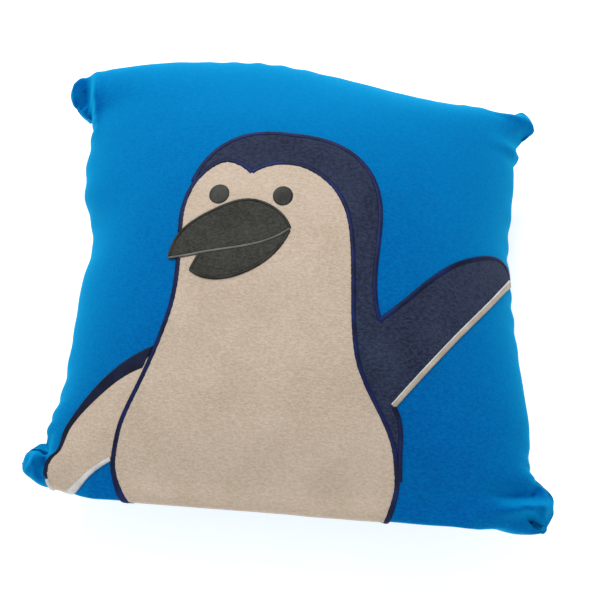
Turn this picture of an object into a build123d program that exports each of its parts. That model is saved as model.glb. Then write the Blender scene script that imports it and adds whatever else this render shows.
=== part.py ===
from build123d import *

import os
from math import copysign

# Square throw cushion with an applique penguin on its front, a zip in its bottom seam and a loose pad inside.
# The cushion lies on its back panel. +Z is the way the penguin faces and +Y points to the penguin's head. The
# origin is the middle of the flattened patch that the cushion rests on. The zip runs along X in the -Y seam.

os.makedirs("parts", exist_ok=True)

# Driving dimensions, in millimetres
ear_reach = 222.0  # from the middle to an ear tip, along X and along Y
side_waist = 196.0  # half of the width across the middle, where the sides pull in
top_waist = 206.0  # from the middle to the top seam, where it pulls in
zip_edge = 206.0  # from the middle to the straight bottom seam
seam_height = 76.0  # height of the seam over the resting face
front_rise = 88.0  # height of the front crown over the seam
back_rise = 82.0  # depth of the back crown, before its resting face is pressed flat

rim = 1.5  # height of a panel's edge over the seam
knit = 1.2  # thickness of the knitted cover
allowance = 10.0  # width of the seam allowance that is turned in
thread = 0.4  # thickness of the seam's thread
thread_inset = 4.0  # from the seam's edge to its thread
thread_stop = 32.0  # the seam's thread stops this far short of an ear tip
gap = 0.1  # clearance between plies that lie on each other
patch = 0.8  # thickness of an applique patch
satin = 0.8  # height of the satin stitching over the patches
border = 4.4  # width of a navy satin border
beak_border = 2.6  # width of the beak's satin border
mouth_width = 2.2
strip_width = 4.6  # width of the pale stitching under the raised flipper
lower_strip_width = 3.2
eye_radii = (9.3, 10.3)
left_eye_place = (-73, 44)
right_eye_place = (-18, 44)
backing = 0.3  # thickness of the stabiliser behind the picture
backing_inset = 26.0

zip_half = 160.0  # half of the zip opening
slot_half = 5.5  # half of the gap between the panels at the zip
tape_start = 4.2  # from the seam to the edge of a zip tape
tape_width = 8.0
tape = 0.8  # thickness of a zip tape
tooth_pitch = 2.5
tooth_width = 0.9
tooth_reach = 1.2  # how far a tooth reaches past the seam
coil_depth = 1.6
coil_y = -204.5  # middle of the coils
stop_length = 4.0
stop_corner = 0.8
slider_half_length = 6.5
slider_half_width = 3.6
plate = 1.1  # thickness of a slider plate
post_radius = 1.4
slider_x = 150.0  # middle of the slider when the zip is closed
post_x = 4.0  # from the middle of the slider to its post
channel = 3.0  # gap between the slider's plates
cord_inner = 1.9  # from the seam to the cord that carries a coil's teeth
loop_radius = 1.6
loop_wire = 0.8
loop_width = 1.6
pull_length = 24.0
pull_width = 6.0
pull_thickness = 1.0
pull_corner = 0.5  # corner radius of the pull
pull_hole_radius = 1.5  # hole at the pull's free end
eye_length = 2.5  # the pull's eye, which the slider's loop passes through
eye_width = 2.4

tall = 200.0  # height of a cutting solid, more than the whole cushion
spare = 4.0  # how far a cutting solid runs past what it cuts

pad_gap = 14.0  # from the cover's seam to the pad's seam
pad_clearance = 1.0  # between the cover and the pad over the crowns
pad_allowance = 6.0
case = 0.9  # thickness of the pad's case

label_x = 120.0
label_width = 30.0
label_out = 20.0
label_thickness = 0.3

FRONT = 1
BACK = -1


def plan_point(u, v, inset=0.0):
    """A point of a panel in plan, inset from the seam. The seam is where u or v is -1 or 1."""
    side = side_waist + (ear_reach - side_waist) * abs(v) ** 3 - inset
    if v >= 0:
        end = top_waist + (ear_reach - top_waist) * abs(u) ** 3 - inset
    else:
        end = zip_edge + (ear_reach - zip_edge) * abs(u) ** 8 - inset
    return side * u, end * v


def crown(rise, inset=0.0):
    """The crowned surface of a panel, run a little past its seam so that an outline can cut it."""
    steps = [1.04 * (i / 12 - 1) for i in range(25)]

    def at(u, v):
        bulge = (1 - abs(u) ** 3) * (1 - abs(v) ** 3)
        height = copysign(rim, rise) + (rise - copysign(rim, rise)) * bulge
        return (*plan_point(u, v, inset), seam_height + height)

    grid = [[at(u, v) for u in steps] for v in steps]
    return Face.make_surface_from_array_of_points(grid, tol=0.01, min_deg=3, max_deg=3)


def ply(surface, level, thickness):
    """A sheet of even height whose upper face lies level above a crowned surface."""
    return Solid.extrude(Pos(0, 0, level) * surface, Vector(0, 0, -thickness))


def panel_sketch(inset=0.0):
    """The seam's closed outline as a face, drawn as one smooth curve for each side."""
    steps = [i / 8 - 1 for i in range(17)]
    with BuildSketch() as panel:
        with BuildLine():
            Spline([plan_point(u, -1, inset) for u in steps])
            Spline([plan_point(1, v, inset) for v in steps])
            Spline([plan_point(-u, 1, inset) for u in steps])
            Spline([plan_point(-1, -v, inset) for v in steps])
        make_face()
    return panel.sketch


def dome(facing, surface, inset, depth, floor=0.0):
    """The closed space between the seam's plane and a crowned surface, depth further in than that surface."""
    with BuildPart() as space:
        if facing == FRONT:
            with BuildSketch(Plane.XY.offset(seam_height)):
                add(panel_sketch(inset))
            extrude(amount=tall)
            add(ply(surface, -depth, tall), mode=Mode.INTERSECT)
        else:
            with BuildSketch(Plane.XY.offset(floor)):
                add(panel_sketch(inset))
            extrude(amount=seam_height - floor)
            add(ply(surface, depth + tall, tall), mode=Mode.INTERSECT)
    return space.part


def seam_ring(outer, inner, start, height):
    """A flat ring that follows the seam, from start above the seam's plane."""
    with BuildPart() as ring:
        with BuildSketch(Plane.XY.offset(seam_height + start)):
            add(panel_sketch(outer))
            add(panel_sketch(inner), mode=Mode.SUBTRACT)
        extrude(amount=height)
    return ring.part


def cut_from(surface, outline, level, thickness):
    """A sheet over a crowned surface, cut to an outline in plan."""
    with BuildPart() as sheet:
        with BuildSketch(Plane.XY.offset(seam_height)):
            add(outline)
            add(panel_sketch(), mode=Mode.INTERSECT)
        extrude(amount=tall)
        add(ply(surface, level + thickness, thickness), mode=Mode.INTERSECT)
        add(zip_slot.part, mode=Mode.SUBTRACT)
    return sheet.part


def largest(outline, count):
    """The largest separate areas of an outline, without the slivers that cutting leaves."""
    with BuildSketch() as kept:
        add(outline.faces().sort_by(SortBy.AREA)[-count:])
    return kept.sketch


def finish(piece, name):
    """Labels a finished piece and writes it to its own file."""
    piece.part.label = name
    export_step(piece.part, f"parts/{name}.step")


front_crown = crown(front_rise)
back_crown = crown(-back_rise)

# Cover: two crowned panels with turned-in allowances, sewn together and open along the zip

slot_depth = allowance + spare  # the slot starts behind the turned-in allowance
with BuildPart() as zip_slot:
    with BuildSketch(Plane.XZ.offset(zip_edge - slot_depth)):
        with Locations((0, seam_height)):
            Rectangle(2 * zip_half, 2 * slot_half)
    extrude(amount=slot_depth + 2 * spare)

with BuildPart() as cover_front:
    add(dome(FRONT, front_crown, 0, 0))
    add(dome(FRONT, front_crown, knit, knit), mode=Mode.SUBTRACT)
    add(seam_ring(knit / 2, allowance, gap / 2, knit))
    add(zip_slot.part, mode=Mode.SUBTRACT)
finish(cover_front, "cover_front")

with BuildPart() as cover_back:
    add(dome(BACK, back_crown, 0, 0))
    add(dome(BACK, back_crown, knit, knit, floor=knit), mode=Mode.SUBTRACT)
    add(seam_ring(knit / 2, allowance, -gap / 2 - knit, knit))
    add(zip_slot.part, mode=Mode.SUBTRACT)
finish(cover_back, "cover_back")

with BuildSketch() as thread_run:
    add(panel_sketch(thread_inset))
    add(panel_sketch(thread_inset + thread), mode=Mode.SUBTRACT)
    with GridLocations(2 * ear_reach, 2 * ear_reach, 2, 2):
        Rectangle(2 * thread_stop, 2 * thread_stop, mode=Mode.SUBTRACT)
    with Locations((0, -ear_reach)):
        Rectangle(2 * zip_half, 2 * (ear_reach - zip_edge + slot_depth), mode=Mode.SUBTRACT)

with BuildPart() as seam_thread:
    for start in (gap + knit, -gap - knit - thread):
        with BuildSketch(Plane.XY.offset(seam_height + start)):
            add(thread_run.sketch)
        extrude(amount=thread)
finish(seam_thread, "seam_thread")

# Picture: outlines in plan. A patch ends under the middle of the satin border that covers its raw edge.

below = -230.0  # past the bottom seam, which cuts the picture off

with BuildLine() as face_left:
    Spline((-47, 67), (-57, 75), (-70, 79), (-84, 72), (-100, 47), (-104, 21))
    Spline(
        (-104, 21), (-102, -20), (-103, -52), (-110, -83), (-127, -130), (-138, -160), (-140, -176),
        (-139.5, -187.5), (-135.5, -194.5), (-129, -200), (-105, below),
    )
with BuildLine() as face_right:
    Spline((-47, 67), (-34, 75), (-11, 78), (12, 69), (33, 46), (44, 6), (48, -44), (54, -90))
    Spline((54, -90), (76, -133), (91, -162), (94, -176), (95, -188), (92, -196), (70, below))
with BuildLine() as hood:
    Spline(
        (-104, 21), (-99, 54), (-82, 88), (-55, 107), (-15, 110), (26, 102), (53, 80), (65, 50), (66, 7),
        (65, -28), (71, -60),
    )
with BuildLine() as flipper_top:
    Spline((71, -60), (96, -36), (129, -3), (164, 17), (186, 20), (194, 9))
with BuildLine() as flipper_bottom:
    Line((194, 9), (87, -128))
with BuildLine() as body_right:
    Spline((87, -128), (94, -143), (95.5, -159), (96.5, -175), (97, -188), (94, -196), (74, below))

with BuildSketch() as face_outline:
    with BuildLine():
        add(face_left.line)
        add(face_right.line)
        Line((-105, below), (70, below))
    make_face()

with BuildSketch() as face_border:
    trace(face_left.line, border)
    trace(face_right.line, border)

with BuildSketch() as body_outline:
    with BuildLine():
        add(hood.line)
        add(flipper_top.line)
        add(flipper_bottom.line)
        add(body_right.line)
        Polyline((74, below), (0, below), (0, -60), (-104, 21))
    make_face()
    add(face_outline.sketch, mode=Mode.SUBTRACT)

with BuildSketch() as body_border:
    trace(hood.line, border)
    trace(flipper_top.line, border)
    trace(body_right.line, border)
    add(face_border.sketch, mode=Mode.SUBTRACT)

with BuildLine() as flipper_underside:
    Spline((-187, -204), (-182, -209), (-174, -208), (-165, -199), (-157, -190), (-150, -185), (-138, -179))

with BuildSketch() as left_flipper_outline:
    with BuildLine():
        Spline((-112, -100), (-134, -107), (-158, -127), (-180, -156), (-190, -186), (-187, -204))
        add(flipper_underside.line)
        Line((-138, -179), (-112, -100))
    make_face()
    add(face_outline.sketch, mode=Mode.SUBTRACT)

with BuildSketch() as left_flipper_rim:
    with BuildLine():
        Spline((-112, -91), (-136, -103), (-161, -124), (-182, -155), (-193, -186), (-190, -204))
        Line((-190, -204), (-185, -205))
        Spline((-185, -205), (-188, -187), (-176, -156), (-156, -133), (-133, -116), (-118, -110))
        Line((-118, -110), (-112, -91))
    make_face()
    add(face_border.sketch, mode=Mode.SUBTRACT)

with BuildLine() as beak_top:
    Spline((-110, -16), (-101, 9), (-76, 28), (-46, 38.5), (-24, 31), (-9.5, 13))
with BuildLine() as mouth:
    Spline((-9.5, 13), (-34, -1.5), (-64, -8.5), (-84, -12))
    Spline((-84, -12), (-97, -14.5), (-110, -16))
with BuildLine() as beak_bottom:
    Line((-84, -12), (-90.5, -27))
    Spline((-90.5, -27), (-80, -33), (-65, -34.5), (-46, -29), (-25, -14), (-9.5, 13))

with BuildSketch() as upper_beak_outline:
    with BuildLine():
        add(beak_top.line)
        add(mouth.line)
    make_face()

with BuildSketch() as lower_beak_outline:
    with BuildLine():
        add(mouth.line.edges().sort_by(Axis.X)[-1])
        add(beak_bottom.line)
    make_face()

with BuildSketch() as beak_outline:
    add(upper_beak_outline.sketch)
    add(lower_beak_outline.sketch)

with BuildSketch() as mouth_stitch:
    trace(mouth.line, mouth_width)

with BuildSketch() as upper_beak_stitch:
    trace(beak_top.line, beak_border)
    add(mouth_stitch.sketch, mode=Mode.SUBTRACT)

with BuildSketch() as lower_beak_stitch:
    trace(beak_bottom.line, beak_border)
    add(mouth_stitch.sketch, mode=Mode.SUBTRACT)
    add(upper_beak_stitch.sketch, mode=Mode.SUBTRACT)

with BuildSketch() as beak_cover:
    add(beak_outline.sketch)
    add(mouth_stitch.sketch)
    add(upper_beak_stitch.sketch)
    add(lower_beak_stitch.sketch)

with BuildSketch() as face_stitch:
    add(face_border.sketch)
    add(beak_cover.sketch, mode=Mode.SUBTRACT)

with BuildSketch() as raised_flipper_strip:
    trace(flipper_bottom.line, strip_width)
    add(body_border.sketch, mode=Mode.SUBTRACT)

with BuildSketch() as left_flipper_strip:
    trace(flipper_underside.line, lower_strip_width)
    add(face_border.sketch, mode=Mode.SUBTRACT)
    add(left_flipper_rim.sketch, mode=Mode.SUBTRACT)

patch_level = gap
satin_level = patch_level + patch + gap
beak_satin_level = satin_level + patch + gap

pictures = {
    "body_applique": (body_outline.sketch, patch_level, patch),
    "face_belly_applique": (face_outline.sketch, patch_level, patch),
    "left_flipper_applique": (left_flipper_outline.sketch, patch_level, patch),
    "left_flipper_edge": (left_flipper_rim.sketch, satin_level, satin),
    "raised_flipper_edge_stitch": (raised_flipper_strip.sketch, satin_level, satin),
    "left_flipper_lower_stitch": (largest(left_flipper_strip.sketch, 1), satin_level, satin),
    "body_border_stitch": (largest(body_border.sketch, 2), satin_level, satin),
    "face_border_stitch": (face_stitch.sketch, satin_level, satin),
    "upper_beak": (upper_beak_outline.sketch, satin_level, patch),
    "lower_beak": (lower_beak_outline.sketch, satin_level, patch),
    "upper_beak_border_stitch": (upper_beak_stitch.sketch, beak_satin_level, satin),
    "lower_beak_border_stitch": (lower_beak_stitch.sketch, beak_satin_level, satin),
    "mouth_line_stitch": (mouth_stitch.sketch, beak_satin_level, satin),
}
for name, (outline, level, thickness) in pictures.items():
    with BuildPart() as picture:
        add(cut_from(front_crown, outline, level, thickness))
    finish(picture, name)

for name, place in {"left_eye": left_eye_place, "right_eye": right_eye_place}.items():
    with BuildSketch() as eye_outline:
        with Locations(place):
            Ellipse(*eye_radii)
    with BuildPart() as eye:
        add(cut_from(front_crown, eye_outline.sketch, satin_level, satin))
    finish(eye, name)

with BuildPart() as embroidery_backing:
    add(cut_from(front_crown, panel_sketch(backing_inset), -knit - gap - backing, backing))
finish(embroidery_backing, "embroidery_backing")

# Pad: a closed case of two panels, filled with fibre

pad_depth = knit + gap + backing + pad_clearance
front_pad_crown = crown(front_rise - pad_depth, pad_gap)
back_pad_crown = crown(-(back_rise - pad_depth), pad_gap)
pad_floor = knit + gap

with BuildPart() as insert_case_front:
    add(dome(FRONT, front_pad_crown, pad_gap, 0))
    add(dome(FRONT, front_pad_crown, pad_gap + case, case), mode=Mode.SUBTRACT)
    with BuildSketch(Plane.XY.offset(seam_height)):
        add(panel_sketch(pad_gap - pad_clearance))
    extrude(amount=case, mode=Mode.SUBTRACT)
finish(insert_case_front, "insert_case_front")

with BuildPart() as insert_case_back:
    add(dome(BACK, back_pad_crown, pad_gap, 0, floor=pad_floor))
    add(dome(BACK, back_pad_crown, pad_gap + case, case, floor=pad_floor + case), mode=Mode.SUBTRACT)
    with BuildSketch(Plane.XY.offset(seam_height)):
        add(panel_sketch(pad_gap - pad_clearance))
    extrude(amount=-case, mode=Mode.SUBTRACT)
finish(insert_case_back, "insert_case_back")

with BuildPart() as insert_seam:
    add(seam_ring(pad_gap, pad_gap + pad_allowance, gap - case, 2 * (case - gap)))
finish(insert_seam, "insert_seam")

fill_inset = pad_gap + pad_allowance + gap
with BuildPart() as fibre_filling:
    add(dome(FRONT, front_pad_crown, fill_inset, case + gap))
    add(dome(BACK, back_pad_crown, fill_inset, case + gap, floor=pad_floor + case + gap))
finish(fibre_filling, "fibre_filling")

# Zip in the bottom seam: tapes, coils, stops, slider and pull

for name, facing in {"zip_tape_front": FRONT, "zip_tape_back": BACK}.items():
    near = seam_height + facing * tape_start
    with BuildPart() as zip_tape:
        with BuildSketch(Plane.XZ.offset(zip_edge - allowance - tape_width)):
            with Locations((0, near + facing * tape_width / 2)):
                Rectangle(2 * zip_half - 2, tape_width)
        extrude(amount=slot_depth + tape_width)
        if facing == FRONT:
            add(ply(front_crown, -knit - gap, tape), mode=Mode.INTERSECT)
        else:
            add(ply(back_crown, knit + gap + tape, tape), mode=Mode.INTERSECT)
    finish(zip_tape, name)

coil_start = -zip_half + stop_length
coil_end = slider_x + post_x - post_radius - 1
coil_middle = (coil_start + coil_end) / 2
teeth = int((coil_end - coil_start) / tooth_pitch)
cord = tape_start - gap - cord_inner

for name, facing in {"zip_coil_front": FRONT, "zip_coil_back": BACK}.items():
    tooth_height = cord_inner + tooth_reach
    half_pitch = facing * tooth_pitch / 4
    with BuildPart() as zip_coil:
        with BuildSketch(Plane.XZ.offset(-coil_y - coil_depth / 2)):
            with Locations((coil_middle, seam_height + facing * (cord_inner + cord / 2))):
                Rectangle(coil_end - coil_start, cord)
            with Locations((coil_middle + half_pitch, seam_height + facing * (cord_inner - tooth_reach) / 2)):
                with GridLocations(tooth_pitch, 1, teeth - 1, 1):
                    SlotOverall(tooth_height + tooth_width, tooth_width, rotation=90)
        extrude(amount=coil_depth)
    finish(zip_coil, name)

stop_x = zip_half - stop_length / 2
for name, x in {"zip_open_stop": -stop_x, "zip_closed_stop": stop_x}.items():
    with BuildPart() as stop:
        with BuildSketch(Plane.XZ.offset(-coil_y - coil_depth / 2)):
            with Locations((x, seam_height)):
                RectangleRounded(stop_length - 1, 2 * (tape_start - gap), stop_corner)
        extrude(amount=coil_depth)
    finish(stop, name)

with BuildPart() as zip_slider_body:
    for start in (channel / 2, -channel / 2 - plate):
        with BuildSketch(Plane.XZ.offset(-coil_y + start)):
            with Locations((slider_x, seam_height)):
                SlotOverall(2 * slider_half_length, 2 * slider_half_width)
        extrude(amount=plate)
    with BuildSketch(Plane.XZ.offset(-coil_y - channel / 2)):
        with Locations((slider_x + post_x, seam_height)):
            Circle(post_radius)
    extrude(amount=channel)
    with BuildSketch(Plane.XY.offset(seam_height - loop_width / 2)):
        with Locations((slider_x, coil_y - channel / 2 - plate)):
            Circle(loop_radius + loop_wire)
            Circle(loop_radius, mode=Mode.SUBTRACT)
            with Locations((0, tape_width / 2)):
                Rectangle(tape_width, tape_width, mode=Mode.SUBTRACT)
    extrude(amount=loop_width)
finish(zip_slider_body, "zip_slider_body")

hinge_y = coil_y - channel / 2 - plate - loop_radius / 2
with BuildPart() as zip_pull_tab:
    with BuildSketch(Plane.XZ.offset(-hinge_y - pull_thickness / 2)):
        with Locations((slider_x + pull_thickness / 2 - pull_length / 2, seam_height)):
            RectangleRounded(pull_length, pull_width, pull_corner)
        with Locations((slider_x - pull_thickness / 2 - eye_length / 2, seam_height)):
            Rectangle(eye_length, eye_width, mode=Mode.SUBTRACT)
        with Locations((slider_x - pull_length + pull_width / 2, seam_height)):
            Circle(pull_hole_radius, mode=Mode.SUBTRACT)
    extrude(amount=pull_thickness)
finish(zip_pull_tab, "zip_pull_tab")

# Care label: a blank ribbon sewn into the top seam and folded against the back panel

with BuildPart() as care_label:
    with BuildSketch():
        with Locations((label_x, top_waist - label_out / 2)):
            Rectangle(label_width, label_out)
    extrude(amount=seam_height - rim)
    add(ply(back_crown, -gap, label_thickness), mode=Mode.INTERSECT)
finish(care_label, "care_label")
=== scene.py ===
"""Looks of the penguin cushion: simulated cover, sewn picture, zip and pad, in a plain studio."""

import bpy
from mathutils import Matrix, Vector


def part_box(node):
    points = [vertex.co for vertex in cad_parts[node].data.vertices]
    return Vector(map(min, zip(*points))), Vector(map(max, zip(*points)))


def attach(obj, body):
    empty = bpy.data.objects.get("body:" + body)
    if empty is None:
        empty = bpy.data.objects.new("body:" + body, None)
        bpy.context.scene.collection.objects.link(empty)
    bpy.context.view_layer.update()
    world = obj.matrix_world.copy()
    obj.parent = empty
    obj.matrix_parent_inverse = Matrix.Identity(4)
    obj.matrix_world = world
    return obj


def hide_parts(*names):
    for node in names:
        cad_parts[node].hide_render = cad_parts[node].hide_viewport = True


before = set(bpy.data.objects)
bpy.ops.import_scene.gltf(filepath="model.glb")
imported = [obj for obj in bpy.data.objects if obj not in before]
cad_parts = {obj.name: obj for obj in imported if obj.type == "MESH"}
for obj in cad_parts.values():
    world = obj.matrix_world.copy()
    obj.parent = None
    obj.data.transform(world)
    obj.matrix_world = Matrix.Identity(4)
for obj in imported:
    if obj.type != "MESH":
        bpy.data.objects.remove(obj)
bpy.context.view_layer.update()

import math

import bpy
import numpy as np
from mathutils import Matrix, Vector, geometry

MM = 0.001
FRONT, BACK = 1, -1

# The cover's layout, from the frame and from the CAD panel's formula

cover_low, cover_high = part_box("cover_front")
SEAM = cover_low[2]  # height of the seam's plane
EAR = cover_high[0]  # corner of the seam's outline
SIDE_WAIST = 196 * MM  # half width at mid height, where the sides pull in
TOP_WAIST = 206 * MM
ZIP_EDGE = 206 * MM  # distance to the zip in the bottom seam
CUT_HALF = 225 * MM  # half a panel's side as it is cut, flat
GATHER = 12 * MM  # how much shorter the half seam is than the half panel, taken up by the stitching

RISE = {FRONT: 88 * MM, BACK: 82 * MM}  # how far each crown stands off the seam before it rests

GRID = 101  # points along each side of a simulated panel
FINE = 321  # points along each side after smoothing
SPREAD = 0.8 * math.pi / 2  # how far the cloth coordinate bunches towards the seam
SEAM_REACH = 0.42  # how far into a panel, in cloth coordinates, its seam's shape is felt

rng = np.random.default_rng(7)


def smooth(t):
    """A ramp from 0 to 1 as t goes from 0 to 1, level at both ends."""
    t = np.clip(t, 0, 1)
    return t * t * (3 - 2 * t)


def plan_half_widths(u, v):
    side = SIDE_WAIST + (EAR - SIDE_WAIST) * np.abs(v) ** 3
    top = TOP_WAIST + (EAR - TOP_WAIST) * np.abs(u) ** 3
    bottom = ZIP_EDGE + (EAR - ZIP_EDGE) * np.abs(u) ** 8
    return side, np.where(v >= 0, top, bottom)


def panel_coordinates(x, y):
    """Panel coordinates u and v, from -1 to 1 between the seams, of a place in plan."""
    u, v = x / SIDE_WAIST, y / TOP_WAIST
    for _ in range(20):
        side, end = plan_half_widths(np.clip(u, -1, 1), np.clip(v, -1, 1))
        u, v = x / side, y / end
    return np.clip(u, -1, 1), np.clip(v, -1, 1)


def to_panel(c):
    """Panel coordinate of a cloth coordinate, which counts cloth evenly from seam to seam."""
    return np.sin(SPREAD * c) / math.sin(SPREAD)


def to_cloth(u):
    return np.arcsin(u * math.sin(SPREAD)) / SPREAD


# Cloth simulation of the cover's two panels

# The seam as it lies, pushed out of its even CAD outline by filling and handling: for each side, the place
# along the CAD side and where that bit of seam lies in plan, in millimetres. Each side ends at ears' tips.

SEAM_LINES = {
    "left": [
        (-222, -223, -186), (-212, -221, -177), (-200, -213, -175), (-190, -205, -177), (-170, -206, -162),
        (-120, -198, -121), (-60, -196, -62), (-16, -195, -16), (8, -191, 8), (38, -195, 38), (62, -204, 62),
        (95, -208, 95), (130, -208, 130), (150, -209, 143), (168, -214, 152), (182, -225, 160),
        (200, -233, 168), (222, -235, 180),
    ],
    "right": [
        (-222, 230, -197), (-210, 233, -186), (-198, 229, -175), (-186, 221, -170), (-170, 214, -163),
        (-121, 211, -121), (-67, 202, -67), (0, 193, 0), (36, 190, 36), (100, 194, 100), (124, 195, 124),
        (138, 195, 136), (147, 200, 143), (156, 197, 150), (168, 199, 158), (182, 206, 166), (198, 213, 173),
        (222, 212, 181),
    ],
    "top": [
        (-222, -235, 180), (-212, -232, 189), (-200, -222, 198), (-185, -205, 205), (-163, -176, 212),
        (-100, -102, 221), (-60, -60, 222), (-16, -16, 219), (34, 34, 210), (83, 83, 200), (132, 130, 194),
        (165, 160, 193), (186, 182, 189), (200, 195, 192), (212, 205, 192), (222, 212, 181),
    ],
    "bottom": [
        (-222, -223, -186), (-214, -221, -194), (-205, -214, -199), (-194, -205, -204), (-178, -188, -206),
        (-160, -163, -206), (-120, -120, -206), (0, 0, -206), (120, 120, -206), (160, 160, -206),
        (178, 180, -209), (198, 202, -213), (208, 217, -212), (216, 225, -208), (222, 230, -197),
    ],
}


def seam_line(side, places):
    """Where a side's seam lies, for places along it in metres, by cubic steps between the listed points."""
    knots = np.array(SEAM_LINES[side]) * MM
    at, line = knots[:, 0], knots[:, 1:]
    slope = np.gradient(line, at, axis=0)
    k = np.clip(np.searchsorted(at, places) - 1, 0, len(at) - 2)
    gap = (at[k + 1] - at[k])[:, None]
    t = (places - at[k])[:, None] / gap
    start = (1 + 2 * t) * (1 - t) ** 2 * line[k] + t * (1 - t) ** 2 * gap * slope[k]
    return start + t**2 * (3 - 2 * t) * line[k + 1] + t**2 * (t - 1) * gap * slope[k + 1]


def plan_of_panel(u, v):
    """Where each point of a panel lies in plan, the CAD plan moved along with its nearest seams."""
    cu, cv = to_cloth(u[:, 0]), to_cloth(v[0])
    weights = {
        "left": smooth(1 - (cu + 1) / SEAM_REACH)[:, None, None],
        "right": smooth(1 - (1 - cu) / SEAM_REACH)[:, None, None],
        "bottom": smooth(1 - (cv + 1) / SEAM_REACH)[None, :, None],
        "top": smooth(1 - (1 - cv) / SEAM_REACH)[None, :, None],
    }
    side, end = plan_half_widths(u, v)
    cad = np.stack([side * u, end * v], -1)
    shifts = {
        "left": (seam_line("left", cad[0, :, 1]) - cad[0])[None],
        "right": (seam_line("right", cad[-1, :, 1]) - cad[-1])[None],
        "bottom": (seam_line("bottom", cad[:, 0, 0]) - cad[:, 0])[:, None],
        "top": (seam_line("top", cad[:, -1, 0]) - cad[:, -1])[:, None],
    }
    total = sum(weights[name] * shifts[name] for name in weights)
    for across in ("left", "right"):
        for along, end_of_side in (("bottom", 0), ("top", -1)):
            total = total - weights[across] * weights[along] * shifts[across][0, end_of_side]
    return cad + total


def start_shape(facing):
    """A panel's grid of points before it is blown up."""
    even = np.linspace(-1, 1, GRID)
    u, v = np.meshgrid(to_panel(even), to_panel(even), indexing="ij")
    plan = plan_of_panel(u, v)
    z = SEAM + facing * RISE[facing] * np.sqrt(np.clip(1 - u * u, 0, 1) * np.clip(1 - v * v, 0, 1))
    return np.concatenate([plan, z[..., None]], -1)


def inflate(frames, pressure):
    """Blows the two panels up from the start shape, with their flat cut size at rest: two grids of points."""
    front, back = start_shape(FRONT), start_shape(BACK)
    number = np.arange(GRID * GRID).reshape(GRID, GRID)
    inner = np.zeros((GRID, GRID), bool)
    inner[1:-1, 1:-1] = True
    back_number = number.copy()
    back_number[inner] = GRID * GRID + np.arange(inner.sum())
    even = np.linspace(-1, 1, GRID)
    cu, cv = np.meshgrid(even, even, indexing="ij")
    flat = np.stack([cu * (CUT_HALF - GATHER * cv**2), cv * (CUT_HALF - GATHER * cu**2), 0 * cu], -1)
    points = np.concatenate([front.reshape(-1, 3), back[inner]])
    flat_points = np.concatenate([flat.reshape(-1, 3), flat[inner]])
    quads = []
    for n, turn in ((number, 1), (back_number, -1)):
        corners = [n[:-1, :-1], n[1:, :-1], n[1:, 1:], n[:-1, 1:]]
        quads.append(np.stack(corners[::turn], -1).reshape(-1, 4))
    mesh = bpy.data.meshes.new("inflating")
    mesh.from_pydata(points.tolist(), [], np.concatenate(quads).tolist())
    piece = bpy.data.objects.new("inflating", mesh)
    bpy.context.scene.collection.objects.link(piece)
    piece.shape_key_add(name="start")
    flat_key = piece.shape_key_add(name="flat")
    flat_key.data.foreach_set("co", flat_points.astype(np.float32).ravel())
    pins = piece.vertex_groups.new(name="seam")
    pins.add(number[~inner].tolist(), 1.0, "REPLACE")
    cloth = piece.modifiers.new("Cloth", "CLOTH")
    settings = cloth.settings
    settings.quality = 6
    settings.mass = 0.2
    settings.tension_stiffness = 20
    settings.compression_stiffness = 5
    settings.shear_stiffness = 3
    settings.bending_stiffness = 0.3
    settings.tension_damping = settings.compression_damping = 20
    settings.shear_damping = 10
    settings.air_damping = 3
    settings.use_pressure = True
    settings.uniform_pressure_force = pressure
    settings.vertex_group_mass = "seam"
    settings.rest_shape_key = flat_key
    settings.effector_weights.gravity = 0
    cloth.collision_settings.use_collision = False
    cloth.point_cache.frame_end = frames
    scene = bpy.context.scene
    for number_of_frame in range(1, frames + 1):
        scene.frame_set(number_of_frame)
    result = piece.evaluated_get(bpy.context.evaluated_depsgraph_get()).to_mesh()
    places = np.empty(len(result.vertices) * 3, np.float32)
    result.vertices.foreach_get("co", places)
    places = places.reshape(-1, 3).astype(float)
    bpy.data.objects.remove(piece)
    scene.frame_set(1)
    return places[number], places[back_number]


def cubic_weights(at, count):
    """Catmull-Rom weights of count even knots from -1 to 1, one row for each place."""
    t = (at + 1) / 2 * (count - 1)
    first = np.clip(np.floor(t).astype(int), 0, count - 2)
    f = t - first
    parts = [-f + 2 * f**2 - f**3, 2 - 5 * f**2 + 3 * f**3, f + 4 * f**2 - 3 * f**3, -(f**2) + f**3]
    weights = np.zeros((len(at), count))
    rows = np.arange(len(at))
    for offset, part in enumerate(parts):
        np.add.at(weights, (rows, np.clip(first - 1 + offset, 0, count - 1)), part / 2)
    return weights


def refine(grid):
    """A grid with FINE points along each side."""
    even = np.linspace(-1, 1, FINE)
    w = cubic_weights(even, len(grid))
    return np.einsum("ai,ijk,bj->abk", w, grid, w)


def soften(grid):
    """Blurs the inside of a grid, leaving its rim."""
    around = grid[:-2, 1:-1] + grid[2:, 1:-1] + grid[1:-1, :-2] + grid[1:-1, 2:]
    soft = grid.copy()
    soft[1:-1, 1:-1] = 0.5 * grid[1:-1, 1:-1] + 0.125 * around
    return soft


front_grid, back_grid = inflate(frames=30, pressure=0.5)
panels = {FRONT: refine(soften(front_grid)), BACK: refine(soften(back_grid))}

even = np.linspace(-1, 1, FINE)
cloth_u, cloth_v = np.meshgrid(even, even, indexing="ij")

# The lips over the zip, and the gathers at the seams

LIP_GAP = 4.5 * MM  # how far each lip stands off the seam's plane
LIP_END = 170 * MM  # where the lips meet again beyond the zip's ends
LIP_FADE = 30 * MM
ROLL_OUT = {FRONT: 11.8 * MM, BACK: 1.5 * MM}  # how far each panel rolls out in front of the zip
ROLL_AT = 9 * MM  # how far from the seam the roll is fullest
ROLL_RISE = 2 * MM
ROLL_END = 200 * MM
PUCKER = 0.7 * MM
RIPPLE = 1 * MM


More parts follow.
